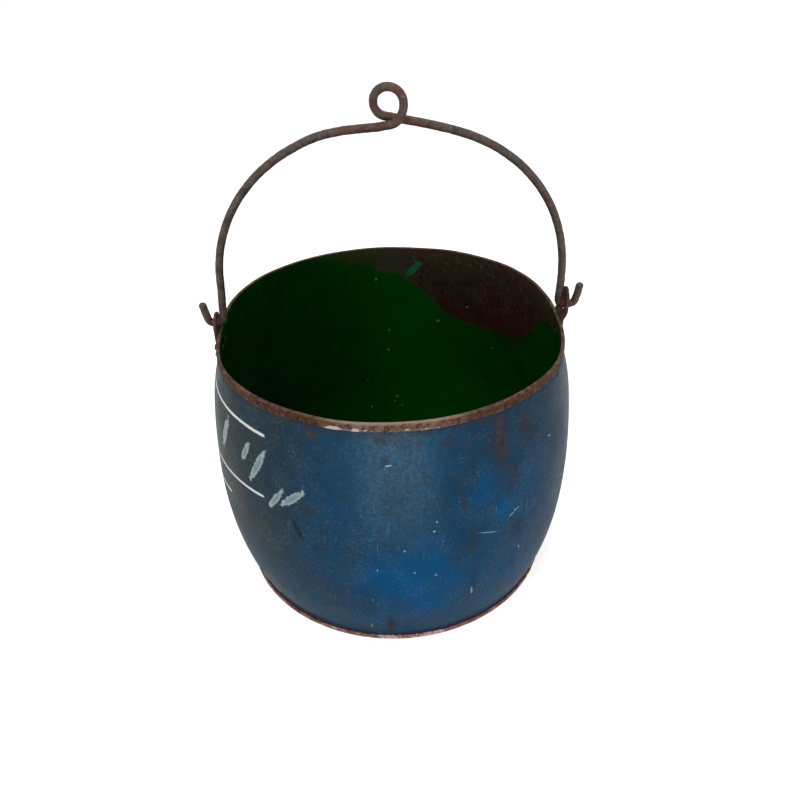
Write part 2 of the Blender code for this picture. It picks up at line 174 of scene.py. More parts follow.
PALE_MARKS = [
    (33.4, 0.1345, 0.0030, 0.0006, 24, 1.0),
    (34.6, 0.1370, 0.0006, 0.0016, -10, 0.9),
    (35.6, 0.1376, 0.0022, 0.0006, 20, 1.0),
    (25.0, 0.1272, 0.0130, 0.0005, -20, 0.7),
    (21.2, 0.0610, 0.0009, 0.0050, 8, 1.0),
    (3.0, 0.1005, 0.0010, 0.0010, 0, 1.0),
    (9.2, 0.0950, 0.0007, 0.0018, 25, 0.9),
    (0.3, 0.1260, 0.0009, 0.0012, 0, 0.8),
    (8.7, 0.1430, 0.0014, 0.0009, 0, 0.8),
    (9.5, 0.1520, 0.0008, 0.0010, 0, 0.8),
    (-7.5, 0.1050, 0.0007, 0.0014, 0, 0.8),
    (-9.5, 0.0660, 0.0007, 0.0014, 0, 0.7),
    (38.0, 0.0890, 0.0006, 0.0030, 20, 0.7),
    (51.0, 0.1860, 0.0034, 0.0007, -20, 0.7),
    (-3.4, 0.2090, 0.0030, 0.0010, 10, 0.8),
    (-11.0, 0.0210, 0.0006, 0.0060, 0, 0.7),
]
DARK_MARKS = [
    (-30.7, 0.1335, 0.0022, 0.0090, 24, 1.8),
    (37.0, 0.1160, 0.0100, 0.0150, 10, 0.62),
    (36.0, 0.0800, 0.0050, 0.0300, 4, 0.5),
    (43.0, 0.1200, 0.0080, 0.0070, -30, 0.5),
    (15.4, 0.2050, 0.0030, 0.0160, 0, 0.45),
    (-17.5, 0.1850, 0.0050, 0.0070, 0, 0.35),
    (135, 0.1200, 0.0180, 0.0300, 0, 0.7),
]
CLEAR_MARKS = [
    (3, 0.085, 0.050, 0.048, 0, 0.95),
    (24, 0.176, 0.011, 0.020, 0, 0.8),
    (30, 0.145, 0.012, 0.014, 0, 0.8),
    (14, 0.130, 0.020, 0.020, 0, 0.5),
    (-140, 0.080, 0.060, 0.050, 0, 0.8),
    (120, 0.090, 0.050, 0.050, 0, 0.8),
]

# Ruled white lines along the wall as (first angle, last angle, height at the last,
# rise per degree, half width), after how far their edges waver and soften
WHITE_LINE_WAVER = 0.0014
WHITE_LINE_OUTSIDE = 0.0002
WHITE_LINE_INSIDE = 0.0004
WHITE_LINES = [
    (-81, -41.3, 0.2130, 0.0, 0.0015),
    (-79, -43.0, 0.1523, 0.00024, 0.0014),
    (-82, -63.0, 0.1222, 0.00032, 0.0016),
]

# Loose swipes of thin white paint, as marks
WHITE_SWIPES = [
    (-32.0, 0.1640, 0.0140, 0.0030, 42, 0.9),
    (-38.0, 0.1570, 0.0130, 0.0026, 56, 0.8),
    (-45.0, 0.1800, 0.0190, 0.0030, 60, 0.85),
    (-50.5, 0.1860, 0.0110, 0.0028, 62, 0.8),
    (-63.0, 0.1860, 0.0200, 0.0036, 66, 0.65),
]

# Chips to bare metal on the hem, and worn places of the base's ring, as marks; the ring's pale places in
# front are partly a painted highlight
HEM_CHIPS = [
    (-18.0, 0.2395, 0.0080, 0.0022, 4, 0.95),
    (-12.0, 0.2394, 0.0040, 0.0020, 0, 0.9),
    (-8.5, 0.2400, 0.0050, 0.0015, 0, 0.55),
    (1.0, 0.2400, 0.0060, 0.0017, 0, 0.5),
    (8.0, 0.2390, 0.0110, 0.0014, 0, 0.5),
    (-2.0, 0.2386, 0.0100, 0.0012, 0, 0.4),
    (150, 0.2400, 0.0080, 0.0016, 0, 0.7),
    (-125, 0.2400, 0.0100, 0.0020, 0, 0.7),
]
RING_WEAR_AND_HIGHLIGHTS = [
    (-5.0, 0.0020, 0.0110, 0.0040, 0, 1.0),
    (8.5, 0.0020, 0.0160, 0.0040, 0, 1.0),
    (30, 0.0020, 0.0200, 0.0040, 0, 0.4),
    (-33, 0.0020, 0.0300, 0.0040, 0, 0.4),
    (170, 0.0020, 0.0260, 0.0040, 0, 0.8),
    (-110, 0.0020, 0.0300, 0.0040, 0, 0.6),
]

# Marks on the paint inside: a dab of lighter green in the rusted patch, and pale specks
GREEN_DAB = [
    (168.3, 0.2210, 0.0040, 0.0110, 42, 1.0),
    (166.0, 0.2280, 0.0050, 0.0026, 20, 0.9),
]
INSIDE_SPECKS = [
    (183, 0.209, 0.0009, 0.0014, 0, 1.0),
    (159, 0.159, 0.0016, 0.0009, -30, 1.0),
    (178.5, 0.144, 0.0010, 0.0014, 0, 0.9),
    (179, 0.118, 0.0012, 0.0012, 0, 0.9),
    (147, 0.183, 0.0010, 0.0010, 0, 0.7),
    (136, 0.141, 0.0010, 0.0010, 0, 0.7),
    (176, 0.057, 0.0012, 0.0012, 0, 0.9),
    (177, 0.051, 0.0009, 0.0009, 0, 0.8),
    (174, 0.046, 0.0010, 0.0010, 0, 0.8),
    (187, 0.046, 0.0012, 0.0010, 0, 0.8),
    (-172, 0.080, 0.0009, 0.0009, 0, 0.6),
    (-60, 0.120, 0.0014, 0.0010, 0, 0.7),
    (20, 0.090, 0.0012, 0.0012, 0, 0.7),
    (60, 0.160, 0.0010, 0.0014, 0, 0.7),
]

# The haze in front, partly chalky paint and partly a painted sheen of the light: its middle, and its half
# width, faint and full
CHALK_AND_SHEEN_MIDDLE = -1.5
CHALK_AND_SHEEN_FAINT = 17
CHALK_AND_SHEEN_FULL = 2

# Beyond these angles to either side, the far sides' slate paint ends and the back's starts
SIDE_END = 110
BACK_START = 130

# Rust under the ears: their angle, and how far from it the rust is full and faint
EAR_ANGLE = 91
EAR_RUST_FULL = 3
EAR_RUST_FAINT = 15

# The rusted patch inside, at the back right. Its lower edge is lowest round its middle, rises to both sides
# and wavers, broadly and finely, in height and in angle.
PATCH_MIDDLE = 139
PATCH_LOW_WITHIN = 9
PATCH_HIGH_FROM = 40
PATCH_ENDS = (45, 42)
PATCH_HEIGHT = 0.164
PATCH_RISE = 0.054
PATCH_BROAD_WAVER = (0.008, 10)
PATCH_FINE_WAVER = (0.009, 8)

# Where the bail's rust turns redder: above a height, and within a distance of the middle
EYE_RUST_HEIGHT = 0.375
EYE_RUST_FADE = 0.02
EYE_RUST_NEAR = 0.020
EYE_RUST_FAR = 0.065

# Iron of the ears and of the rivets: dark, middle and light rust, and scaly places
EAR_IRON = [(46, 29, 27), (76, 46, 40), (118, 86, 74), (148, 130, 114)]
RIVET_IRON = [(28, 22, 18), (44, 34, 28), (70, 54, 44), (62, 50, 42)]

# Camera, as the photograph has it
SENSOR_WIDTH = 36
LENS = 36
CLIP_START = 0.01
CAMERA_DISTANCE = 0.70586
CAMERA_ELEVATION = math.radians(28.568)
CAMERA_YAW = math.radians(0.674)
CAMERA_PITCH = math.radians(5.807)
CAMERA_ROLL = math.radians(-1.460)
BUCKET_TURN = math.radians(1.8)

# Light of the sky on the object, the floor, and how much the floor adds to what is seen of it
SKY_LIGHT = 0.55
FLOOR_HALF_SIZE = 6
FLOOR_GREY = 0.86
FLOOR_ROUGHNESS = 0.9
FLOOR_GLOW = 0.55

# Soft lamps as (name, place, the point that it faces, width, watts)
LAMPS = [
    ("key_light", (-0.5, -0.9, 1.3), (0, 0, 0.15), 0.9, 9),
    ("fill_light", (1.1, -0.7, 0.9), (0, 0, 0.15), 1.0, 4),
    ("top_light", (0.1, 0.5, 1.5), (0, 0, 0.2), 1.0, 5),
]


def linear(red, green, blue):
    """A colour given in 0 to 255 display values, as linear values with an alpha."""
    channels = []
    for value in (red, green, blue):
        share = value / 255
        channels.append(share / 12.92 if share <= 0.04045 else ((share + 0.055) / 1.055) ** 2.4)
    return (*channels, 1)


def ease(low, high, value):
    """0 below low, 1 above high, and a soft step between."""
    share = min(max((value - low) / (high - low), 0), 1)
    return share * share * (3 - 2 * share)


def turn_between(first, second):
    """Signed difference of two angles in degrees, from -180 to 180."""
    return (first - second + 180) % 360 - 180


def wall_radius(height):
    """Outside radius of the bellied wall at a height."""
    if height >= NECK_HEIGHT:
        return NECK_RADIUS
    if height <= FOOT_TOP:
        return FOOT_RADIUS
    if height >= BELLY_HEIGHT:
        share = (height - BELLY_HEIGHT) / (NECK_HEIGHT - BELLY_HEIGHT)
        return BELLY_RADIUS - (BELLY_RADIUS - NECK_RADIUS) * share**SHOULDER_FULLNESS
    share = (BELLY_HEIGHT - height) / (BELLY_HEIGHT - FOOT_TOP)
    return BELLY_RADIUS - (BELLY_RADIUS - FOOT_RADIUS) * share**FOOT_FULLNESS


def from_ear(angle):
    """How far an angle is from the nearer ear; angles are from the front, in radians."""
    return abs(abs(math.remainder(angle, 2 * math.pi)) - math.pi / 2)


def pinch(angle, height):
    """How far the sheet is pressed in near the ears."""
    depth = PINCH * math.exp(-(((HEIGHT - height) / PINCH_REACH) ** 2))
    return depth * math.exp(-((from_ear(angle) / PINCH_SPREAD) ** 2))


def away_from_ear(angle, height):
    """0 where an ear lies on the wall, 1 away from it."""
    beside = ease(EAR_HALF_ANGLE, EAR_HALF_ANGLE + EAR_FADE, from_ear(angle))
    below = ease(EAR_DEPTH, EAR_DEPTH + EAR_DEPTH_FADE, HEIGHT - height)
    return max(beside, below)


def ripple(place, size, shift=0.0):
    """Noise about 0, of a size in metres; another shift gives another pattern."""
    return noise.noise(place / size + Vector((0, 0, shift)))


def dent_depth(angle, height):
    """How far the wall is knocked in, by its dents and its general waviness; angle is in degrees."""
    total = 0
    for centre, middle, half_width, half_height, depth in DENTS:
        along = math.radians(turn_between(angle, centre)) * BELLY_RADIUS
        total += depth * math.exp(-((along / half_width) ** 2) - ((height - middle) / half_height) ** 2)
    turn = math.radians(angle)
    place = Vector((math.sin(turn) * BELLY_RADIUS, -math.cos(turn) * BELLY_RADIUS, height * WAVE_SQUASH))
    return total + WAVE * ripple(place, WAVE_SIZE)


def arc(centre, radius, start, end, steps):
    """Points of a circular arc in a profile plane, both ends included, angles in degrees."""
    points = []
    for step in range(steps + 1):
        turn = math.radians(start + (end - start) * step / steps)
        points.append((centre[0] + radius * math.cos(turn), centre[1] + radius * math.sin(turn)))
    return points


def run(start, end, step):
    """Evenly spaced values from start towards end, without the last."""
    count = max(1, round(abs(end - start) / step))
    return [start + (end - start) * index / count for index in range(count)]


def shell_profile():
    """The body's section as (radius, height, zone) points, from the top down the outside and up inside."""
    top = HEIGHT - HEM_ROUND
    low = NECK_HEIGHT + HEM_EDGE_ROUND
    outer_edge = (RIM_RADIUS - HEM_ROUND, top)
    lower_edge = (RIM_RADIUS - HEM_EDGE_ROUND, low)
    inner_edge = (NECK_RADIUS - WALL + HEM_ROUND, top)
    rows = [(r, z, "hem") for r, z in arc(outer_edge, HEM_ROUND, 90, 0, HEM_STEPS)]
    rows += [(RIM_RADIUS, z, "hem") for z in run(top - HEM_ROW, low, HEM_ROW)]
    rows += [(r, z, "hem") for r, z in arc(lower_edge, HEM_EDGE_ROUND, 0, -90, EDGE_STEPS)]
    outer = [NECK_HEIGHT - UNDER_HEM] + run(NECK_HEIGHT - FIRST_WALL_ROW, FOOT_TOP, WALL_ROW)
    outer += run(FOOT_TOP, WALL_BOTTOM, EDGE_ROW) + [WALL_BOTTOM]
    rows += [(wall_radius(z), z, "outside") for z in outer]
    inner = [WALL_BOTTOM] + run(BASE_PLATE + FIRST_INSIDE_ROW, NECK_HEIGHT, INSIDE_ROW)
    inner += run(NECK_HEIGHT, top, EDGE_ROW)
    rows += [(wall_radius(z) - WALL, z, "inside") for z in inner]
    for index, (r, z) in enumerate(arc(inner_edge, HEM_ROUND, 180, 90, HEM_STEPS)):
        rows.append((r, z, "inside" if index < 2 else "hem"))
    return rows


def lathe(name, rows, place):
    """A closed skin whose section is rows, turned about Z; place gives the point for a row and an angle."""
    shape = bmesh.new()
    rings = []
    for row in rows:
        ring = []
        for step in range(TURNS):
            ring.append(shape.verts.new(place(row, 2 * math.pi * step / TURNS)))
        rings.append(ring)
    for upper, lower in zip(rings, rings[1:] + rings[:1]):
        for step in range(TURNS):
            following = (step + 1) % TURNS
            shape.faces.new((upper[step], lower[step], lower[following], upper[following]))
    mesh = bpy.data.meshes.new(name)
    shape.normal_update()
    shape.to_mesh(mesh)
    shape.free()
    piece = bpy.data.objects.new(name, mesh)
    bpy.context.scene.collection.objects.link(piece)
    mesh.shade_smooth()
    return piece


def shell_point(row, angle):
    """Where a point of the body's section lies at an angle from the front, dents and worn rim included."""
    radius, height, zone = row
    free = away_from_ear(angle, height)
    grounded = ease(0, FOOT_FADE, height - FOOT_TOP)
    radius -= pinch(angle, height) + dent_depth(math.degrees(angle), height) * free * grounded
    near_rim = ease(RIM_WAVE_REACH, 0.0, HEIGHT - height) * free
    around = Vector((math.sin(angle), -math.cos(angle), 0)) * RIM_RADIUS
    radius += RIM_WAVE * near_rim * ripple(around, RIM_WAVE_SIZE, 7)
    lift = RIM_WAVE * near_rim * ripple(around, RIM_WAVE_SIZE, 3)
    if zone == "hem":
        radius += HEM_ROUGH * free * ripple(around, HEM_ROUGH_SIZE, height / HEM_ROUGH_SIZE)
        lower_edge = ease(HEM_HEIGHT - HEM_EDGE_REACH, HEM_HEIGHT, HEIGHT - height)
        lift += HEM_EDGE_ROUGH * free * lower_edge * ripple(around, HEM_EDGE_ROUGH_SIZE, 11)
    return (radius * math.sin(angle), -radius * math.cos(angle), height + lift)


def make_shell():
    """The body with its dents: blue paint outside, bare rust on the hem, green paint inside."""
    rows = shell_profile()
    shell = lathe("bucket_body", rows, shell_point)
    zones = {"outside": blue_paint(), "hem": hem_rust(), "inside": green_inside()}
    for surface in zones.values():
        shell.data.materials.append(surface)
    slots = list(zones)
    for index, polygon in enumerate(shell.data.polygons):
        polygon.material_index = slots.index(rows[index // TURNS][2])
    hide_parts("body_shell")
    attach(shell, "bucket")


def base_profile():
    """The base's section from the middle of the plate's top, over the lip, to the middle of its underside."""
    top = LIP_HEIGHT - LIP_ROUND
    inner = (LIP_INNER_RADIUS + LIP_ROUND, top)
    outer = (LIP_RADIUS - LIP_ROUND, top)
    bend = (LIP_RADIUS - BASE_BEND, BASE_BEND)
    rows = [(r, BASE_PLATE, "plate") for r in run(HUB_RADIUS, LIP_INNER_RADIUS, PLATE_ROW)]
    rows.append((LIP_INNER_RADIUS, BASE_PLATE, "lip"))
    rows += [(LIP_INNER_RADIUS, z, "lip") for z in run(BASE_PLATE + LIP_INNER_ROW, top, LIP_INNER_ROW)]
    rows += [(r, z, "lip") for r, z in arc(inner, LIP_ROUND, 180, 90, LIP_STEPS)]
    rows += [(r, z, "lip") for r, z in arc(outer, LIP_ROUND, 90, 0, LIP_STEPS)]
    rows += [(LIP_RADIUS, z, "lip") for z in run(top - LIP_OUTER_ROW, BASE_BEND, LIP_OUTER_ROW)]
    rows += [(r, z, "lip") for r, z in arc(bend, BASE_BEND, 0, -90, EDGE_STEPS)]
    underside = run(LIP_RADIUS - BASE_BEND - UNDERSIDE_MARGIN, HUB_RADIUS, PLATE_ROW)
    rows += [(r, 0, "plate") for r in underside + [HUB_RADIUS]]
    return rows


def base_point(row, angle):
    """Where a point of the base's section lies at an angle from the front, its ring roughened outside."""
    radius, height, zone = row
    if zone == "lip" and radius > LIP_INNER_RADIUS:
        around = Vector((math.sin(angle), -math.cos(angle), 0)) * LIP_RADIUS
        grain = ripple(around, RING_GRAIN_SIZE, height / RING_GRAIN_HEIGHT)
        rough = ripple(around, RING_ROUGH_SIZE) + RING_GRAIN * grain
        radius += RING_ROUGH * rough * ease(0, RING_ROUGH_FADE, radius - LIP_INNER_RADIUS)
        edge = ease(RING_EDGE_FROM, RING_EDGE_FULL, height)
        height += RING_EDGE_ROUGH * ripple(around, RING_EDGE_ROUGH_SIZE, 5) * edge
    return (radius * math.sin(angle), -radius * math.cos(angle), height)


def make_base():
    """The bottom plate with its ring."""
    base = lathe("bucket_base", base_profile()[::-1], base_point)
    shape = bmesh.new()
    shape.from_mesh(base.data)
    bmesh.ops.recalc_face_normals(shape, faces=shape.faces)
    shape.to_mesh(base.data)
    shape.free()
    base.data.materials.append(base_rust())
    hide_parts("base_disc")
    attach(base, "bucket")


def worn_copy(node, name, voxel, pits, surface, body):
    """A node's solid remade with rounded, pitted surfaces, in its place."""
    pit_depth, pit_size = pits
    copy = bpy.data.objects.new(name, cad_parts[node].data.copy())
    bpy.context.scene.collection.objects.link(copy)
    remesh = copy.modifiers.new("remesh", "REMESH")
    remesh.mode = "VOXEL"
    remesh.voxel_size = voxel
    smooth = copy.modifiers.new("smooth", "LAPLACIANSMOOTH")
    smooth.iterations = SMOOTH_ROUNDS
    smooth.lambda_factor = SMOOTHING
    smooth.use_volume_preserve = True
    bpy.context.view_layer.update()
    graph = bpy.context.evaluated_depsgraph_get()
    mesh = bpy.data.meshes.new_from_object(copy.evaluated_get(graph))
    copy.modifiers.clear()
    copy.data = mesh
    mesh.name = name
    offsets = []
    for vertex in mesh.vertices:
        coarse = noise.noise(vertex.co / pit_size)
        fine = noise.noise(vertex.co / (pit_size * FINE_PIT_SIZE) + Vector((5, 0, 0)))
        offsets.append(-pit_depth * (COARSE_PITS * max(coarse, 0) + FINE_PITS * max(fine, 0)))
    normals = [vertex.normal.copy() for vertex in mesh.vertices]
    for vertex, normal, offset in zip(mesh.vertices, normals, offsets):
        vertex.co += normal * offset
    mesh.shade_smooth()
    mesh.materials.clear()
    mesh.materials.append(surface)
    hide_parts(node)
    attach(copy, body)


class Shader:
    """A material's node tree, with short calls for the nodes that these surfaces use.

    Sizes are in metres, angles in degrees from the front, and colours are linear."""

    def __init__(self, name):
        self.material = bpy.data.materials.new(name)
        self.material.use_nodes = True
        self.tree = self.material.node_tree
        self.principled = self.tree.nodes["Principled BSDF"]
        self.place = self.tree.nodes.new("ShaderNodeTexCoord").outputs["Object"]
        self.split = self.tree.nodes.new("ShaderNodeSeparateXYZ")
        self.link(self.place, self.split.inputs[0])
        self.unrolled = None

    def link(self, source, target):
        self.tree.links.new(source, target)

    def give(self, socket, value):
        """Link a socket to another node's output, or set its value."""
        if isinstance(value, bpy.types.NodeSocket):
            self.link(value, socket)
        else:
            socket.default_value = value

    def math(self, operation, first, second=0.0):
        node = self.tree.nodes.new("ShaderNodeMath")
        node.operation = operation
        self.give(node.inputs[0], first)
        self.give(node.inputs[1], second)
        return node.outputs[0]

    def times(self, first, second):
        return self.math("MULTIPLY", first, second)

    def plus(self, first, second):
        return self.math("ADD", first, second)

    def minus(self, first, second):
        return self.math("SUBTRACT", first, second)

    def most(self, first, second):
        return self.math("MAXIMUM", first, second)

    def sway(self, noise, width):
        """A noise of 0 to 1 made to sway about 0, over width in all."""
        return self.times(self.minus(noise, 0.5), width)

    def off(self, value, centre):
        """How far value is from centre, either way."""
        return self.math("ABSOLUTE", self.minus(value, centre))

    def noise(self, size, detail, roughness, stretch=(1, 1, 1), shift=0.0):
        """Fractal noise from 0 to 1 whose features are about size metres across."""
        mapping = self.tree.nodes.new("ShaderNodeMapping")
        mapping.inputs["Scale"].default_value = [share / size for share in stretch]
        mapping.inputs["Location"].default_value = (shift, shift * 0.7, shift * 1.3)
        self.link(self.place, mapping.inputs["Vector"])
        node = self.tree.nodes.new("ShaderNodeTexNoise")
        node.inputs["Scale"].default_value = 1
        node.inputs["Detail"].default_value = detail
        node.inputs["Roughness"].default_value = roughness
        self.link(mapping.outputs[0], node.inputs["Vector"])
        return node.outputs[0]

    def step(self, value, low, high):
        """A soft step of value: 0 at low and 1 at high, in either order."""
        if low > high:
            return self.minus(1.0, self.step(value, high, low))
        node = self.tree.nodes.new("ShaderNodeMapRange")
        node.interpolation_type = "SMOOTHSTEP"
        self.give(node.inputs["Value"], value)
        node.inputs["From Min"].default_value = low
        node.inputs["From Max"].default_value = high
        return node.outputs[0]

    def mix(self, factor, first, second):
        """Colour between first and second."""
        node = self.tree.nodes.new("ShaderNodeMix")
        node.data_type = "RGBA"
        self.give(node.inputs[0], factor)
        self.give(node.inputs[6], first)
        self.give(node.inputs[7], second)
        return node.outputs[2]

    def cover(self, colour, share, strength, coat):
        """The colour under a coat of another, where share is 1 as strongly as strength."""
        return self.mix(self.times(share, strength), colour, coat)

    def blend(self, factor, first, second):
        """Number between first and second."""
        node = self.tree.nodes.new("ShaderNodeMix")
        node.data_type = "FLOAT"
        self.give(node.inputs[0], factor)
        self.give(node.inputs[2], first)
        self.give(node.inputs[3], second)
        return node.outputs[0]

    def marks(self, marks, edge):
        """The strongest of the listed soft ovals at a point of the round wall; edge is how soft, up to 1."""
        if self.unrolled is None:
            combine = self.tree.nodes.new("ShaderNodeCombineXYZ")
            self.link(self.math("MULTIPLY", self.angle(), math.radians(BELLY_RADIUS)), combine.inputs[0])
            self.link(self.height(), combine.inputs[1])
            self.unrolled = combine.outputs[0]
        strongest = None
        for centre, middle, half_width, half_height, tilt, strength in marks:
            centre = math.remainder(centre, 360)
            mapping = self.tree.nodes.new("ShaderNodeMapping")
            mapping.vector_type = "TEXTURE"
            mapping.inputs["Location"].default_value = (math.radians(centre) * BELLY_RADIUS, middle, 0)
            mapping.inputs["Rotation"].default_value = (0, 0, math.radians(tilt))
            mapping.inputs["Scale"].default_value = (half_width, half_height, 1)
            self.link(self.unrolled, mapping.inputs["Vector"])
            length = self.tree.nodes.new("ShaderNodeVectorMath")
            length.operation = "LENGTH"
            self.link(mapping.outputs[0], length.inputs[0])
            slope = -strength / (2 * edge)
            fade = self.math("MULTIPLY_ADD", length.outputs["Value"], slope)
            fade.node.inputs[2].default_value = -slope * (1 + edge)
            share = self.math("MINIMUM", fade, strength)
            strongest = self.math("MAXIMUM", 0.0 if strongest is None else strongest, share)
        return strongest

    def height(self):
        return self.split.outputs["Z"]

    def angle(self):
        """Angle round the bucket from the front in degrees, positive towards +X."""
        backward = self.math("MULTIPLY", self.split.outputs["Y"], -1.0)
        turn = self.math("ARCTAN2", self.split.outputs["X"], backward)
        return self.math("MULTIPLY", turn, 180 / math.pi)

    def bump(self, height, depth, previous=None):
        node = self.tree.nodes.new("ShaderNodeBump")
        node.inputs["Strength"].default_value = 1.0
        node.inputs["Distance"].default_value = depth
        self.link(height, node.inputs["Height"])
        if previous is not None:
            self.link(previous, node.inputs["Normal"])
        return node.outputs[0]

    def finish(self, colour, roughness, normal, specular, metallic=0.0):
        self.link(colour, self.principled.inputs["Base Color"])
        self.link(roughness, self.principled.inputs["Roughness"])
        self.link(normal, self.principled.inputs["Normal"])
        self.principled.inputs["Specular IOR Level"].default_value = specular
        self.principled.inputs["Metallic"].default_value = metallic
        return self.material


def rust_colour(s, dark, middle, light):
    """Rust mottled between three colours."""
    coarse = s.noise(0.011, 5, 0.65, shift=3.1)
    fine = s.noise(0.0022, 4, 0.6, shift=8.4)
    colour = s.mix(s.step(coarse, 0.36, 0.60), dark, middle)
    return s.mix(s.step(fine, 0.50, 0.74), colour, light)


def blue_areas(s, angle, height, cloud, grain):
    """The paint's broad areas of blue and slate, and where it is hazy: chalky, with a painted sheen of the
    light in front.
    """
    colour = s.mix(s.step(cloud, 0.36, 0.66), linear(20, 60, 88), linear(22, 68, 102))
    clear = s.plus(s.marks(CLEAR_MARKS, 0.9), s.sway(cloud, 0.9))
    colour = s.mix(s.step(clear, 0.25, 0.95), colour, linear(0, 76, 124))
    # painted sheen: a lighter hazy band in front, partly chalky scuffs and partly a painted highlight of the
    # light
    chalk_and_sheen = s.times(s.step(s.off(angle, CHALK_AND_SHEEN_MIDDLE), CHALK_AND_SHEEN_FAINT, CHALK_AND_SHEEN_FULL), s.step(height, 0.095, 0.205))
    chalk_and_sheen = s.times(chalk_and_sheen, s.blend(s.step(grain, 0.34, 0.66), 0.35, 1.0))
    colour = s.cover(colour, chalk_and_sheen, 0.74, linear(74, 102, 122))
    wander = s.sway(cloud, 34)
    left = s.step(s.plus(angle, wander), -12, -46)
    left = s.times(left, s.blend(s.step(height, 0.020, 0.110), 0.45, 1.0))
    not_behind = s.step(s.math("ABSOLUTE", angle), BACK_START, SIDE_END)
    colour = s.cover(colour, s.times(left, not_behind), 0.85, linear(38, 50, 54))
    far_left = s.times(s.step(s.plus(angle, wander), -40, -66), not_behind)
    colour = s.cover(colour, far_left, 0.50, linear(56, 54, 48))
    far_right = s.step(s.plus(angle, wander), 34, 62)
    colour = s.cover(colour, s.times(far_right, not_behind), 0.60, linear(36, 50, 60))
    upper = s.times(s.step(height, 0.150, 0.225), s.step(s.math("ABSOLUTE", angle), 8, 24))
    colour = s.cover(colour, upper, 0.45, linear(32, 50, 62))
    olive = s.times(s.step(s.noise(0.024, 4, 0.6, shift=6.1), 0.50, 0.68), 0.34)
    return s.mix(olive, colour, linear(46, 60, 54)), chalk_and_sheen


def blue_specks(s, colour, speck):
    """The paint under its tan, pale blue and dark specks and its upright scuffs."""
    tan_area = s.step(s.noise(0.020, 4, 0.6, shift=15.5), 0.38, 0.62)
    tan_speck = s.times(s.step(speck, 0.50, 0.70), tan_area)
    colour = s.cover(colour, tan_speck, 0.42, linear(92, 100, 102))
    blue_area = s.step(s.noise(0.026, 3, 0.6, shift=5.5), 0.44, 0.64)
    blue_speck = s.times(s.step(s.noise(0.0013, 3, 0.7, shift=23.0), 0.54, 0.72), blue_area)
    colour = s.cover(colour, blue_speck, 0.66, linear(104, 136, 158))
    dark_speck = s.step(s.noise(0.0024, 4, 0.7, shift=33.0), 0.42, 0.28)
    colour = s.cover(colour, dark_speck, 0.5, linear(16, 34, 46))
    hair = s.noise(0.0012, 2, 0.5, stretch=(1, 1, 0.05), shift=6.2)
    scuffed = s.times(s.step(hair, 0.66, 0.78), s.step(s.noise(0.03, 3, 0.6, shift=7.7), 0.42, 0.60))
    return s.cover(colour, scuffed, 0.45, linear(128, 146, 156))


def blue_rust(s, angle, height, rough_edge):
    """How far the paint is stained, and how far it is rusted."""
    near_rim = s.times(s.step(height, NECK_HEIGHT - 0.013, NECK_HEIGHT), 0.50)
    near_foot = s.times(s.step(height, 0.018, 0.005), 0.46)
    away = s.step(s.math("ABSOLUTE", angle), 76, 108)
    scattered = s.step(s.plus(s.noise(0.016, 4, 0.65, shift=11.3), s.times(away, 0.07)), 0.60, 0.74)
    scattered = s.times(scattered, s.blend(away, 0.42, 0.66))
    by_ear = s.step(s.off(s.math("ABSOLUTE", angle), EAR_ANGLE), EAR_RUST_FAINT, EAR_RUST_FULL)
    by_ear = s.times(s.times(by_ear, s.step(height, 0.110, 0.215)), 0.62)
    scattered = s.most(scattered, by_ear)
    share = s.most(s.marks(RUST_MARKS, 0.75), scattered)
    share = s.most(share, s.most(near_rim, near_foot))
    running = s.sway(s.noise(0.0030, 4, 0.6, stretch=(1, 1, 0.10), shift=2.2), 0.8)
    flaked = s.plus(s.plus(share, rough_edge), s.times(running, share))
    return s.step(flaked, 0.12, 0.62), s.step(flaked, 0.50, 0.86)


def white_paint(s, angle, height, grain, speck):
    """Where the ruled white lines are, and where the loose swipes are."""
    white = None
    for first, last, end_height, rise, half_width in WHITE_LINES:
        middle = s.plus(s.times(angle, rise), end_height - last * rise)
        aside = s.plus(s.off(height, middle), s.sway(grain, WHITE_LINE_WAVER))
        line = s.step(aside, half_width + WHITE_LINE_OUTSIDE, half_width - WHITE_LINE_INSIDE)
        along = s.times(s.step(angle, first - 1, first + 1), s.step(angle, last + 0.5, last - 0.5))
        line = s.times(line, along)
        white = line if white is None else s.most(white, line)
    white = s.times(white, s.step(speck, 0.86, 0.60))
    bristles = s.sway(grain, 1.1)
    swiped = s.marks(WHITE_SWIPES, 0.6)
    swipe = s.step(s.plus(swiped, bristles), 0.20, 0.50)
    return white, s.times(swipe, s.blend(s.step(swiped, 0.45, 0.85), 0.86, 0.50))


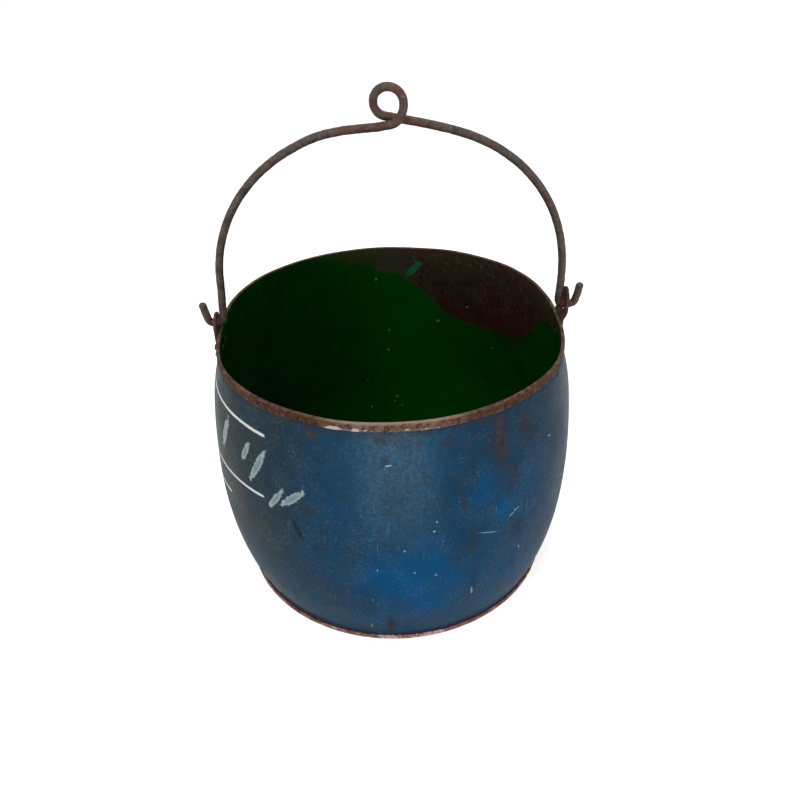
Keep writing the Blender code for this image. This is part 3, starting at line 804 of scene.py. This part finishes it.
def blue_paint():
    """Old blue paint: slate areas, a hazy front that is partly chalky and partly a painted sheen, scuffs,
    chips and stains down to rust, white lines and swipes.
    """
    s = Shader("blue_paint_worn")
    angle = s.angle()
    height = s.height()
    cloud = s.noise(0.050, 4, 0.6, shift=1.7)
    grain = s.noise(0.0034, 4, 0.65, shift=4.2)
    speck = s.noise(0.0017, 3, 0.7, shift=9.9)
    colour, chalk_and_sheen = blue_areas(s, angle, height, cloud, grain)
    colour = blue_specks(s, colour, speck)

    rough_edge = s.sway(s.noise(0.0048, 5, 0.7, shift=13.0), 1.3)
    dark_mark = s.plus(s.marks(DARK_MARKS, 0.6), s.times(rough_edge, 0.8))
    colour = s.cover(colour, s.step(dark_mark, 0.25, 0.9), 0.74, linear(24, 34, 36))
    stained, rust = blue_rust(s, angle, height, rough_edge)
    colour = s.cover(colour, stained, 0.55, linear(58, 54, 54))
    iron = rust_colour(s, linear(48, 40, 40), linear(72, 58, 58), linear(104, 88, 80))
    colour = s.cover(colour, rust, 0.62, iron)
    pale = s.step(s.plus(s.marks(PALE_MARKS, 0.5), s.sway(speck, 0.9)), 0.30, 0.70)
    colour = s.cover(colour, pale, 0.80, linear(148, 172, 184))
    white, swipe = white_paint(s, angle, height, grain, speck)
    colour = s.cover(colour, white, 0.92, linear(228, 228, 220))
    colour = s.mix(swipe, colour, linear(164, 182, 184))

    roughness = s.blend(s.step(cloud, 0.35, 0.7), 0.34, 0.46)
    roughness = s.blend(chalk_and_sheen, roughness, 0.55)
    roughness = s.blend(s.most(rust, stained), roughness, 0.80)
    roughness = s.blend(white, roughness, 0.6)
    normal = s.bump(s.step(s.noise(0.0048, 5, 0.7, shift=13.0), 0.45, 0.62), 0.00015)
    normal = s.bump(s.noise(0.0014, 3, 0.7, shift=1.0), 0.00006, normal)
    return s.finish(colour, roughness, normal, specular=0.02)


def hem_rust():
    """The folded rim: red-brown rust, rubbed to paler metal along its top and in front; the paler top in
    front is partly a painted highlight of the lit top face.
    """
    s = Shader("hem_rust_worn")
    height = s.height()
    angle = s.angle()
    iron = rust_colour(s, linear(54, 34, 28), linear(86, 54, 40), linear(118, 82, 64))
    plum = s.step(s.noise(0.016, 3, 0.6, stretch=(1, 1, 0.4), shift=4.4), 0.50, 0.66)
    iron = s.cover(iron, plum, 0.5, linear(66, 48, 46))
    aside = s.step(s.math("ABSOLUTE", angle), 36, 70)
    iron = s.cover(iron, aside, 0.55, linear(78, 66, 54))
    ragged = s.sway(s.noise(0.0040, 4, 0.65, shift=6.6), 0.0030)
    uneven = s.plus(height, ragged)
    front = s.times(s.step(angle, -26, -12), s.step(angle, 24, 8))
    rubbed = s.times(front, s.step(s.noise(0.0042, 4, 0.65, shift=12.0), 0.38, 0.62))
    colour = s.cover(iron, rubbed, 0.55, linear(146, 126, 116))
    top = s.step(uneven, HEIGHT - 0.0016, HEIGHT - 0.0004)
    blotch = s.step(s.noise(0.005, 4, 0.6, shift=2.0), 0.42, 0.62)
    worn_and_lit_top = s.mix(blotch, linear(62, 46, 36), linear(102, 80, 62))
    # painted highlight: the top in front is paler, partly rubbed metal and partly the light on the top face
    worn_and_lit_top = s.cover(worn_and_lit_top, front, 0.6, linear(168, 148, 132))
    colour = s.cover(colour, top, 0.80, worn_and_lit_top)
    low = s.times(s.step(uneven, NECK_HEIGHT + 0.0018, NECK_HEIGHT + 0.0008), 0.7)
    broken = s.step(s.noise(0.010, 4, 0.6, shift=9.0), 0.48, 0.62)
    colour = s.mix(s.times(low, broken), colour, linear(128, 108, 98))
    bare = s.marks(HEM_CHIPS, 0.5)
    bare = s.step(s.plus(bare, s.sway(s.noise(0.0030, 4, 0.7, shift=21.0), 1.6)), 0.50, 0.72)
    chips = s.times(s.step(s.noise(0.0034, 4, 0.7, shift=25.0), 0.68, 0.75), 0.5)
    bare = s.most(bare, chips)
    colour = s.cover(colour, bare, 0.72, linear(212, 202, 188))
    roughness = s.blend(s.most(top, bare), 0.76, 0.50)
    normal = s.bump(s.noise(0.0024, 5, 0.7, shift=3.0), 0.00030)
    normal = s.bump(bare, 0.0001, normal)
    return s.finish(colour, roughness, normal, specular=0.05)


def patch_rust(s, height, behind):
    """Colours of the rusted patch inside: paler towards the rim, redder low down, grey at its left."""
    rust = rust_colour(s, linear(26, 12, 9), linear(48, 28, 24), linear(76, 54, 44))
    streaky = s.step(s.noise(0.006, 4, 0.65, stretch=(0.4, 0.4, 2.2), shift=14.0), 0.42, 0.62)
    rust = s.cover(rust, streaky, 0.5, linear(38, 20, 15))
    upward = s.step(height, 0.205, 0.240)
    rust = s.cover(rust, upward, 0.42, linear(54, 40, 30))
    rust = s.cover(rust, s.step(height, 0.196, 0.168), 0.7, linear(40, 14, 10))
    flaky = s.step(s.noise(0.0055, 5, 0.7, shift=29.0), 0.54, 0.66)
    rust = s.mix(s.times(flaky, s.times(upward, 0.6)), rust, linear(78, 86, 66))
    return s.cover(rust, s.step(s.off(behind, 176), 9, 5), 0.7, linear(44, 42, 38))


def green_inside():
    """Dark green paint inside, with a broad rusted patch under the rim at the back right."""
    s = Shader("green_paint_inside")
    height = s.height()
    angle = s.angle()
    cloud = s.noise(0.05, 4, 0.6, shift=2.9)
    colour = s.mix(s.step(cloud, 0.35, 0.68), linear(1, 46, 3), linear(1, 56, 6))
    behind = s.math("MODULO", s.plus(angle, 360), 360)
    shade = s.times(s.step(behind, 172, 218), s.step(behind, 345, 280))
    colour = s.cover(colour, shade, 0.52, linear(2, 26, 4))
    low_down = s.step(height, 0.100, 0.030)
    colour = s.cover(colour, low_down, 0.5, linear(0, 66, 6))
    lit = s.step(s.off(behind, 166), 34, 4)
    colour = s.cover(colour, lit, 0.4, linear(0, 72, 10))
    grime = s.step(s.noise(0.018, 4, 0.65, shift=28.0), 0.54, 0.68)
    colour = s.cover(colour, grime, 0.30, linear(16, 26, 12))

    broad = s.minus(s.noise(0.028, 3, 0.55, shift=7.0), 0.5)
    fine = s.minus(s.noise(0.0065, 4, 0.65, shift=1.0), 0.5)
    edge = s.times(broad, PATCH_BROAD_WAVER[0])
    edge = s.plus(height, s.plus(edge, s.times(fine, PATCH_FINE_WAVER[0])))
    around = s.plus(s.off(behind, PATCH_MIDDLE), s.times(broad, PATCH_BROAD_WAVER[1]))
    around = s.plus(around, s.times(fine, PATCH_FINE_WAVER[1]))
    rise = s.times(s.step(around, PATCH_LOW_WITHIN, PATCH_HIGH_FROM), PATCH_RISE)
    patch = s.minus(edge, s.plus(PATCH_HEIGHT, rise))
    rusted = s.times(s.step(patch, -0.0035, 0.0025), s.step(around, *PATCH_ENDS))
    rust = patch_rust(s, height, behind)
    below = s.times(s.step(patch, -0.022, 0.0), s.step(s.off(behind, 125), 17, 6))
    colour = s.cover(colour, below, 0.6, linear(24, 26, 10))
    colour = s.cover(colour, rusted, 0.94, rust)
    hint = s.times(s.step(edge, 0.222, 0.238), s.step(s.off(behind, 188), 9, 4))
    lifted = s.plus(edge, s.times(s.step(behind, 128, 104), 0.012))
    under_rim = s.times(s.step(lifted, HEIGHT - 0.011, HEIGHT - 0.005), s.step(behind, 212, 190))
    colour = s.cover(colour, s.most(hint, under_rim), 0.6, linear(52, 38, 26))
    dab = s.step(s.plus(s.marks(GREEN_DAB, 0.5), fine), 0.35, 0.7)
    colour = s.cover(colour, dab, 0.85, linear(14, 92, 58))
    specks = s.marks(INSIDE_SPECKS, 0.5)
    colour = s.cover(colour, specks, 0.7, linear(120, 150, 118))
    roughness = s.blend(rusted, s.blend(s.step(cloud, 0.3, 0.7), 0.24, 0.36), 0.78)
    normal = s.bump(s.times(rusted, -1.0), 0.00018)
    normal = s.bump(s.noise(0.010, 4, 0.6, shift=19.0), 0.0004, normal)
    normal = s.bump(s.noise(0.0012, 3, 0.7, shift=19.0), 0.00006, normal)
    return s.finish(colour, roughness, normal, specular=0.06)


def base_rust():
    """Pinkish brown rust, with pale specks on the ring, partly wear and partly a painted highlight in front,
    and old green paint on the bucket's floor.
    """
    s = Shader("base_ring_rust")
    iron = rust_colour(s, linear(100, 60, 56), linear(150, 104, 98), linear(190, 150, 144))
    dark = s.step(s.noise(0.010, 4, 0.6, shift=31.0), 0.56, 0.68)
    colour = s.cover(iron, dark, 0.65, linear(54, 38, 38))
    across = s.times(s.split.outputs["X"], s.split.outputs["X"])
    along = s.times(s.split.outputs["Y"], s.split.outputs["Y"])
    radius = s.math("SQRT", s.plus(across, along))
    upright = s.step(s.height(), 0.0004, 0.0016)
    outer = s.times(upright, s.step(radius, LIP_RADIUS - 0.006, LIP_RADIUS - 0.003))
    # painted highlight: the ring's pale places are strongest in front, partly wear and partly a painted
    # highlight
    front = s.times(s.marks(RING_WEAR_AND_HIGHLIGHTS, 0.6), 0.22)
    worn = s.step(s.plus(s.noise(0.0045, 4, 0.7, shift=12.0), front), 0.60, 0.70)
    colour = s.mix(s.times(worn, s.times(outer, 0.80)), colour, linear(208, 184, 180))
    upside = s.step(s.height(), BASE_PLATE - 0.0006, BASE_PLATE - 0.0002)
    floor = s.times(upside, s.step(radius, FOOT_RADIUS, FOOT_RADIUS - WALL))
    rusted = s.step(s.noise(0.024, 5, 0.65, shift=35.0), 0.50, 0.60)
    painted = s.mix(rusted, linear(1, 50, 5), linear(46, 30, 24))
    grime = s.step(s.noise(0.009, 4, 0.65, shift=37.0), 0.55, 0.68)
    painted = s.cover(painted, grime, 0.4, linear(22, 26, 14))
    colour = s.mix(floor, colour, painted)
    roughness = s.blend(worn, 0.82, 0.58)
    normal = s.bump(s.noise(0.0020, 5, 0.7, shift=5.0), 0.00035)
    return s.finish(colour, roughness, normal, specular=0.05)


def rod_rust():
    """The bail: even grey-brown rust, redder by the eye, pitted, and rubbed lighter in places."""
    s = Shader("bail_rod_rust")
    iron = rust_colour(s, linear(50, 42, 37), linear(78, 67, 60), linear(106, 93, 84))
    redder = s.step(s.noise(0.03, 3, 0.6, shift=18.0), 0.50, 0.66)
    aside = s.math("ABSOLUTE", s.split.outputs["X"])
    by_eye = s.step(s.height(), EYE_RUST_HEIGHT, EYE_RUST_HEIGHT + EYE_RUST_FADE)
    by_eye = s.times(by_eye, s.step(aside, EYE_RUST_FAR, EYE_RUST_NEAR))
    patchy = s.step(s.noise(0.012, 3, 0.6, shift=38.0), 0.40, 0.60)
    redder = s.most(s.times(redder, 0.4), s.times(s.times(by_eye, patchy), 0.75))
    colour = s.mix(redder, iron, linear(86, 52, 40))
    pits = s.step(s.noise(0.0028, 4, 0.65, shift=22.0), 0.60, 0.70)
    colour = s.cover(colour, pits, 0.6, linear(34, 27, 24))
    rubbed = s.times(s.step(s.noise(0.0045, 3, 0.6, stretch=(0.3, 1, 1), shift=26.0), 0.62, 0.74), 0.35)
    colour = s.mix(rubbed, colour, linear(136, 122, 108))
    roughness = s.blend(pits, 0.56, 0.8)
    normal = s.bump(s.noise(0.0016, 5, 0.7, shift=2.0), 0.0003)
    return s.finish(colour, roughness, normal, specular=0.3, metallic=0.2)


def plate_rust(name, tones):
    """Ears and rivets: dark rust with scaly light patches and worn edges, in the four listed tones."""
    s = Shader(name)
    dark, middle, light, scaly = [linear(*tone) for tone in tones]
    iron = rust_colour(s, dark, middle, light)
    scale = s.step(s.noise(0.006, 4, 0.65, shift=27.0), 0.60, 0.70)
    colour = s.cover(iron, scale, 0.55, scaly)
    geometry = s.tree.nodes.new("ShaderNodeNewGeometry")
    worn_edge = s.step(geometry.outputs["Pointiness"], 0.525, 0.575)
    colour = s.cover(colour, worn_edge, 0.6, scaly)
    roughness = s.blend(scale, 0.8, 0.6)
    normal = s.bump(s.noise(0.0018, 5, 0.7, shift=7.0), 0.0003)
    return s.finish(colour, roughness, normal, specular=0.12, metallic=0.1)


def make_ironwork():
    """The bail, the ears and their rivets."""
    rod = rod_rust()
    plate = plate_rust("ear_iron_rust", EAR_IRON)
    rivet = plate_rust("rivet_iron_rust", RIVET_IRON)
    worn_copy("bail", "bail_rod", ROD_VOXEL, ROD_PITS, rod, "bail")
    for side in ("left", "right"):
        worn_copy(f"{side}_ear", f"{side}_ear_plate", EAR_VOXEL, EAR_PITS, plate, "bucket")
        for end in ("front", "back"):
            node = f"{side}_ear_rivet_{end}"
            worn_copy(node, f"{node}_worn", EAR_VOXEL, RIVET_PITS, rivet, "bucket")


def lamp(name, place, aim, width, watts):
    """A square lamp that faces a point."""
    data = bpy.data.lights.new(name, "AREA")
    data.shape = "RECTANGLE"
    data.size = width
    data.size_y = width
    data.energy = watts
    light = bpy.data.objects.new(name, data)
    light.location = place
    light.rotation_euler = (Vector(aim) - Vector(place)).to_track_quat("-Z", "Y").to_euler()
    bpy.context.scene.collection.objects.link(light)


def seen_white(tree, plain, seen):
    """A strength that is plain for light on the object, and seen for what the camera, gloss and glass see."""
    path = tree.nodes.new("ShaderNodeLightPath")
    total = path.outputs["Is Camera Ray"]
    for ray in ("Is Glossy Ray", "Is Transmission Ray"):
        add = tree.nodes.new("ShaderNodeMath")
        add.operation = "ADD"
        add.use_clamp = True
        tree.links.new(total, add.inputs[0])
        tree.links.new(path.outputs[ray], add.inputs[1])
        total = add.outputs[0]
    strength = tree.nodes.new("ShaderNodeMapRange")
    strength.inputs["To Min"].default_value = plain
    strength.inputs["To Max"].default_value = seen
    tree.links.new(total, strength.inputs["Value"])
    return strength.outputs[0]


def make_studio():
    """A pale floor that runs into a white background, a white sky and three soft lamps."""
    mesh = bpy.data.meshes.new("studio_floor")
    shape = bmesh.new()
    bmesh.ops.create_grid(shape, x_segments=1, y_segments=1, size=FLOOR_HALF_SIZE)
    shape.to_mesh(mesh)
    shape.free()
    floor = bpy.data.objects.new("studio_floor", mesh)
    bpy.context.scene.collection.objects.link(floor)
    surface = bpy.data.materials.new("studio_floor")
    surface.use_nodes = True
    tree = surface.node_tree
    principled = tree.nodes["Principled BSDF"]
    principled.inputs["Base Color"].default_value = (FLOOR_GREY, FLOOR_GREY, FLOOR_GREY, 1)
    principled.inputs["Roughness"].default_value = FLOOR_ROUGHNESS
    principled.inputs["Specular IOR Level"].default_value = 0
    principled.inputs["Emission Color"].default_value = (1, 1, 1, 1)
    tree.links.new(seen_white(tree, 0, FLOOR_GLOW), principled.inputs["Emission Strength"])
    mesh.materials.append(surface)

    world = bpy.data.worlds.new("studio")
    world.use_nodes = True
    tree = world.node_tree
    background = tree.nodes["Background"]
    background.inputs["Color"].default_value = (1, 1, 1, 1)
    tree.links.new(seen_white(tree, SKY_LIGHT, 1), background.inputs["Strength"])
    bpy.context.scene.world = world

    for name, place, aim, width, watts in LAMPS:
        lamp(name, place, aim, width, watts)


def make_camera():
    """The camera as the photograph has it, turned a little round the bucket."""
    data = bpy.data.cameras.new("camera")
    data.sensor_width = SENSOR_WIDTH
    data.lens = LENS
    data.clip_start = CLIP_START
    camera = bpy.data.objects.new("camera", data)
    bpy.context.scene.collection.objects.link(camera)
    tilt = CAMERA_ELEVATION + CAMERA_PITCH
    ahead = math.cos(tilt)
    forward = Vector((math.sin(CAMERA_YAW) * ahead, math.cos(CAMERA_YAW) * ahead, -math.sin(tilt)))
    level = forward.cross(Vector((0, 0, 1))).normalized()
    upright = level.cross(forward)
    right = math.cos(CAMERA_ROLL) * level + math.sin(CAMERA_ROLL) * upright
    up = math.cos(CAMERA_ROLL) * upright - math.sin(CAMERA_ROLL) * level
    away = CAMERA_DISTANCE * math.cos(CAMERA_ELEVATION)
    place = Vector((0, -away, CAMERA_DISTANCE * math.sin(CAMERA_ELEVATION) + HEIGHT))
    rotation = Matrix((right, up, -forward)).transposed().to_4x4()
    camera.matrix_world = Matrix.Rotation(-BUCKET_TURN, 4, "Z") @ Matrix.Translation(place) @ rotation
    bpy.context.scene.camera = camera


make_shell()
make_base()
make_ironwork()
make_studio()
make_camera()

bpy.context.scene.view_settings.view_transform = "Standard"
